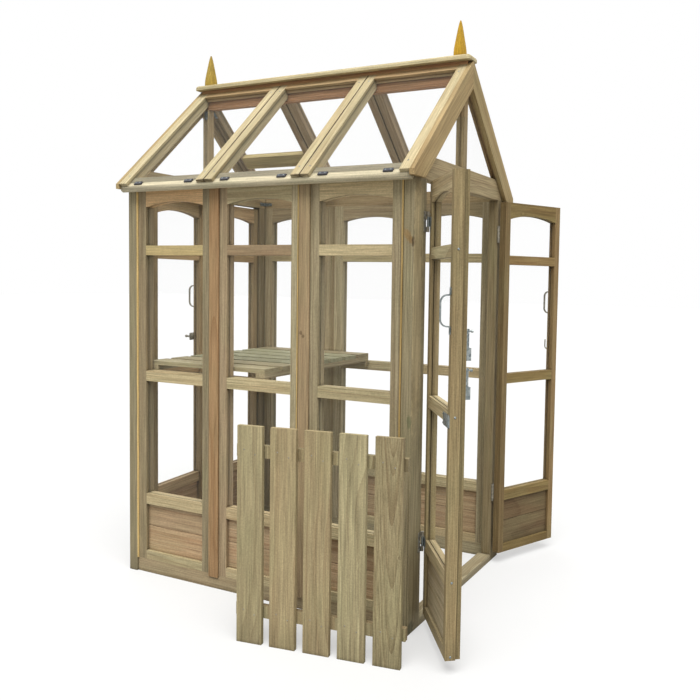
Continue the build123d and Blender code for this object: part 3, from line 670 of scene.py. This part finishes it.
HINGES = (0.330, 1.540)
HINGE_SCREWS = [z + dz for z in HINGES for dz in (-0.025, 0.0, 0.025)]
RAIL_SCREWS = (0.0623, 0.3165, 0.872, 1.426)
LEAF_FLAP = (0.020, 0.004)            # screws in a flap on the leaf: along it from the axis, and inward
POST_FLAP, FLAP_THICK = 0.404, 0.002  # screws in a flap on the post: from the centre line, and off it
for name, leaf in LEAVES.items():
    # Rail screws, in at the leaf's free edge
    heads = [leaf.point(LEAF_FREE_EDGE, LEAF_MIDDLE, z) for z in RAIL_SCREWS]
    skin_over(name + "_edge_screws", turned(heads, leaf.run, SCREW_HEAD), leaf.body, zinc)
    # Three screws in each hinge flap, on the leaf and on the post
    heads = [leaf.point(*LEAF_FLAP, z) for z in HINGE_SCREWS]
    skin_over(name + "_hinge_screws", turned(heads, -leaf.inward, SMALL_SCREW), leaf.body, zinc)
    face, outward = (FRONT - FLAP_THICK, -Y) if name.startswith("front") else (BACK + FLAP_THICK, Y)
    side = -1 if name.endswith("left") else 1
    heads = [(side * POST_FLAP, face, z) for z in HINGE_SCREWS]
    skin_over(name + "_post_screws", turned(heads, outward, SMALL_SCREW), HOUSE, zinc)

# Keep plate on the outer face of the front left leaf
front_left = LEAVES["front_left"]
KEEP_ALONG, KEEP_HEIGHT, KEEP_THICK = 0.330, 0.856, 0.0022
keep = leaf_plate(front_left, KEEP_ALONG, KEEP_HEIGHT, (0.100, 0.046), KEEP_THICK, 0.008)
skin_over("front_left_keep_plate", keep, front_left.body, zinc)
heads = [front_left.point(KEEP_ALONG + along, LEAF_OUTER - KEEP_THICK, KEEP_HEIGHT + up)
         for along in (-0.040, 0.040) for up in (-0.015, 0.015)]
keep_screws = turned(heads, -front_left.inward, SMALL_SCREW)
skin_over("front_left_keep_screws", keep_screws, front_left.body, zinc)

# Upturned hook on its plate, on the outer face of the front right leaf: its bends as (outward, height)
front_right = LEAVES["front_right"]
HOOK_ALONG, HOOK_BAR = 0.366, 0.006
HOOK_BENDS = ((0.001, 0.996), (0.014, 0.995), (0.022, 0.999),
              (0.025, 1.008), (0.025, 1.024), (0.024, 1.040))
hook_plate = leaf_plate(front_right, HOOK_ALONG, 0.997, (0.018, 0.030), 0.0018, 0.004)
skin_over("front_right_hook_plate", hook_plate, front_right.body, dull_zinc)
hook = eased([front_right.point(HOOK_ALONG, LEAF_OUTER - out, z) for out, z in HOOK_BENDS])
skin_over("front_right_hook", carried(hook, HOOK_BAR, HOOK_BAR), front_right.body, dull_zinc)

# Pad bolt on the outer face of the back left leaf: its barrel and knob as (radius, height)
back_left = LEAVES["back_left"]
PAD_HEIGHT, BOLT_INWARD = 1.025, -0.0017
BARREL = np.array([(0.5, 0), (5, 1), (5.5, 3), (5.5, 55), (5, 57), (0.5, 58)]) / MM
KNOB = np.array([(3.5, 0), (3.5, 18), (6.5, 20), (7, 24), (6, 29), (3, 31), (0.5, 31.5)]) / MM
pad = leaf_plate(back_left, 0.350, PAD_HEIGHT, (0.062, 0.036), 0.0022, 0.005)
skin_over("back_left_pad_plate", pad, back_left.body, dull_zinc)
bolt = turned([back_left.point(0.321, BOLT_INWARD, PAD_HEIGHT)], back_left.run, BARREL)
skin_over("back_left_pad_bolt", bolt, back_left.body, dull_zinc)
bolt_knob = turned([back_left.point(0.336, BOLT_INWARD, PAD_HEIGHT)], -back_left.inward, KNOB)
skin_over("back_left_pad_knob", bolt_knob, back_left.body, dull_zinc)

# Two nails, a little aslant, where each spare slat crosses a batten
SPARE_BATTENS, NAIL_SLANT = (0.115, 0.700), 0.35
heads = [SPARE_FOOT + spare_side * (slat * SLAT_SPACING + beside) + Z * (batten + beside * NAIL_SLANT)
         for slat in range(-2, 3) for batten in SPARE_BATTENS for beside in (-0.022, 0.022)]
skin_over("spare_shelf_nails", turned(heads, spare_out, NAIL_HEAD, 10), HOUSE, dull_zinc)

# Ridge cap: the board with its upper edges and its corners rounded
CAP_CORNER, CAP_EDGE = 0.018, 0.012
cap_low, cap_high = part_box("ridge_cap")
cap = skin_over("ridge_cap_rounded", rounded_board(cap_low, cap_high, CAP_CORNER, CAP_EDGE), HOUSE,
                finishes["ridge_cap_softwood_planed"], smooth=False)
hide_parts("ridge_cap")

BAYS = ((-0.030, 0.43517), (0.43817, 0.90183), (0.90483, 1.370))  # ends of the roof's bays
CLIP_SHARES = (0.2, 0.8)             # where two clips sit in a bay, as shares of its length
CLIP_UP, CLIP_UNDER = 0.014, 0.009   # a clip's middle up from the eaves, its face under the rafters'
RAFTER_HALF, RAFTER_SCREWS = 0.023, (0.052, 0.668)   # half a rafter's width, its screws up from the eaves
NOSING_DEPTHS, NOSING_REACH = (0.015, 0.045), 0.012  # edges under the rafters' faces, and reach
BEADS = ((0.015, 1, 0.0106), (0.4715, 1, 0.0095), (1.325, -1, 0.0065))  # place, way to the sheet, size
GABLES = (("front", 0.015, 1), ("back", 1.325, -1))  # inner faces of the posts, and the way inward
ANGLE_LONG, ANGLE_HEIGHT = 0.044, 1.716
ANGLE_SIZE = (ANGLE_LONG, 0.016)
KING_HALF, STRAP_WIDE, STRAP_THICK = 0.018, 0.018, 0.0018
KING_STRAP_HEIGHT, STRAP_BEND_HEIGHT, RAFTER_STRAP_DOWN = 2.108, 2.148, 0.036
for side, sign, up in (("left", -1, UP_LEFT), ("right", 1, UP_RIGHT)):
    out = Vector((sign * math.sin(PITCH), 0, math.cos(PITCH)))
    eaves = Vector((sign * ROOF_HALF, 0, EAVES))
    # Two screws in each clip
    heads = [eaves + up * CLIP_UP - out * CLIP_UNDER + Y * (low + share * (high - low) + dy)
             for low, high in BAYS for share in CLIP_SHARES for dy in (-0.011, 0.011)]
    skin_over(side + "_clip_screws", turned(heads, out, SMALL_SCREW), HOUSE, zinc)
    # One screw near each end of a rafter
    heads = [eaves + up * run + Y * y for low, high in BAYS
             for y in (low + RAFTER_HALF, high - RAFTER_HALF) for run in RAFTER_SCREWS]
    skin_over(side + "_rafter_screws", turned(heads, out, SMALL_SCREW), HOUSE, zinc)
    # Round nosing on the lower edge of the eaves rail
    top, bottom = (eaves + Y * FRONT - out * depth for depth in NOSING_DEPTHS)
    skin_over(side + "_eaves_nosing", bullnose(top, bottom, -up * NOSING_REACH, Y * (BACK - FRONT)),
              HOUSE, finishes["roof_rail_softwood_planed"])
    # Glazing beads in three of the wall's corners
    corners = [(sign * WALL_FACE, y, 0) for y, _, _ in BEADS]
    outs = [(sign, 0, 0) for _ in BEADS]
    besides = [(0, way, 0) for _, way, _ in BEADS]
    sizes = [size for _, _, size in BEADS]
    skin_over(side + "_wall_beads", quarter_round(corners, outs, besides, sizes, SILL_TOP, WALL_TOP),
              HOUSE, finishes["wall_bead_softwood_moulded"], smooth=False)
    # Angle plates where the walls meet the gables, and straps from king posts to rafters
    inner = sign * INNER_FACE
    for end, y, way in GABLES:
        post_y = y - way * KING_HALF
        under = Vector((sign * KING_HALF, post_y, STRAP_BEND_HEIGHT)) - up * RAFTER_STRAP_DOWN
        plates = {
            "angle_on_tie": pressed_plate((inner - sign * ANGLE_LONG / 2, y, ANGLE_HEIGHT), X * -way, Z,
                                          ANGLE_SIZE, 0.002, 0.004),
            "angle_on_wall": pressed_plate((inner, y + way * ANGLE_LONG / 2, ANGLE_HEIGHT), Y * -sign, Z,
                                           ANGLE_SIZE, 0.002, 0.004),
            "king_strap": pressed_plate((sign * KING_HALF, post_y, KING_STRAP_HEIGHT), Y * sign, Z,
                                        (STRAP_WIDE, 0.040), STRAP_THICK, 0.003),
            "rafter_strap": pressed_plate(under, Y * sign, up, (STRAP_WIDE, 0.044), STRAP_THICK, 0.003),
        }
        for kind, plate in plates.items():
            skin_over(f"{side}_{end}_{kind}", plate, HOUSE, zinc)


# Floor, light and camera

def seen_by_eye(tree):
    """1 for rays that the eye sends, also by way of metal and glass, and 0 for those that carry light."""
    ray = add(tree, "ShaderNodeLightPath").outputs
    seen = maths(tree, "MAXIMUM", ray["Is Camera Ray"], ray["Is Glossy Ray"])
    return maths(tree, "MAXIMUM", seen, ray["Is Transmission Ray"])


FLOOR_REACH, FLOOR_GREY, FLOOR_WHITE = 40.0, (0.36, 0.36, 0.355, 1), 0.48
floor_mesh = bpy.data.meshes.new("studio_floor")
floor_corners = [(x * FLOOR_REACH, y * FLOOR_REACH, 0) for x, y in ((-1, -1), (1, -1), (1, 1), (-1, 1))]
floor_mesh.from_pydata(floor_corners, [], [(0, 1, 2, 3)])
floor = bpy.data.objects.new("studio_floor", floor_mesh)
bpy.context.scene.collection.objects.link(floor)
floor_finish, tree, skin = new_finish("studio_floor_matt_pale")
# A mid grey, to which the eye sees its own white added, so that the shadow on it stays light
skin.inputs["Base Color"].default_value = FLOOR_GREY
tree.links.new(maths(tree, "MULTIPLY", seen_by_eye(tree), FLOOR_WHITE), skin.inputs["Emission Strength"])
skin.inputs["Emission Color"].default_value = (1, 1, 1, 1)
skin.inputs["Roughness"].default_value = 1.0
skin.inputs["Specular IOR Level"].default_value = 0.0
floor_mesh.materials.append(floor_finish)

# White to the eye, and less than half as bright to the things it lights
WORLD_LIGHT = 0.46
world = bpy.data.worlds.new("studio_white")
bpy.context.scene.world = world
world.use_nodes = True
tree = world.node_tree
sky = tree.nodes["Background"]
sky.inputs["Color"].default_value = (1, 1, 1, 1)
tree.links.new(ramp(tree, seen_by_eye(tree), (0.0, 1.0), (WORLD_LIGHT, 1.0)), sky.inputs["Strength"])

# A main light over the front left, and a weak one that fills the far sides: strength, spread, way to it
LAMPS = {
    "soft_overhead": (3.65, 50, (-0.37, -0.22, 0.90)),
    "soft_fill": (0.90, 70, (0.62, 0.66, 0.42)),
}
for name, (energy, spread, towards) in LAMPS.items():
    lamp = bpy.data.lights.new(name, "SUN")
    lamp.energy = energy
    lamp.angle = math.radians(spread)
    sun = bpy.data.objects.new(name, lamp)
    sun.rotation_euler = Vector(towards).to_track_quat("Z", "Y").to_euler()
    bpy.context.scene.collection.objects.link(sun)

# The photo's camera: lengths on the picture in pixels, then its place and how it is turned
PICTURE_SIDE, FOCAL = 700, 773.47
CENTRE_ACROSS, CENTRE_DOWN = 408.03, 324.32
CAMERA_PLACE = (-3.0149, -1.2547, 1.3237)
YAW, TILT, ROLL = (math.radians(angle) for angle in (-63.763, 3.301, 0.9875))
SENSOR_MM = 36.0
view = bpy.data.cameras.new("photo_view")
view.sensor_width = SENSOR_MM
view.lens = FOCAL / PICTURE_SIDE * SENSOR_MM
view.shift_x = (PICTURE_SIDE / 2 - CENTRE_ACROSS) / PICTURE_SIDE
view.shift_y = (CENTRE_DOWN - PICTURE_SIDE / 2) / PICTURE_SIDE
view.clip_end = 200.0
backward = Vector((math.sin(YAW) * math.cos(TILT), -math.cos(YAW) * math.cos(TILT), math.sin(TILT)))
level_right = Vector((math.cos(YAW), math.sin(YAW), 0))
level_up = backward.cross(level_right)
rightward = level_right * math.cos(ROLL) + level_up * math.sin(ROLL)
upward = level_up * math.cos(ROLL) - level_right * math.sin(ROLL)
camera_turn = Matrix((rightward, upward, backward)).transposed().to_4x4()
camera = bpy.data.objects.new("photo_view", view)
camera.matrix_world = Matrix.Translation(CAMERA_PLACE) @ camera_turn
bpy.context.scene.collection.objects.link(camera)
bpy.context.scene.camera = camera
bpy.context.scene.view_settings.view_transform = "Standard"
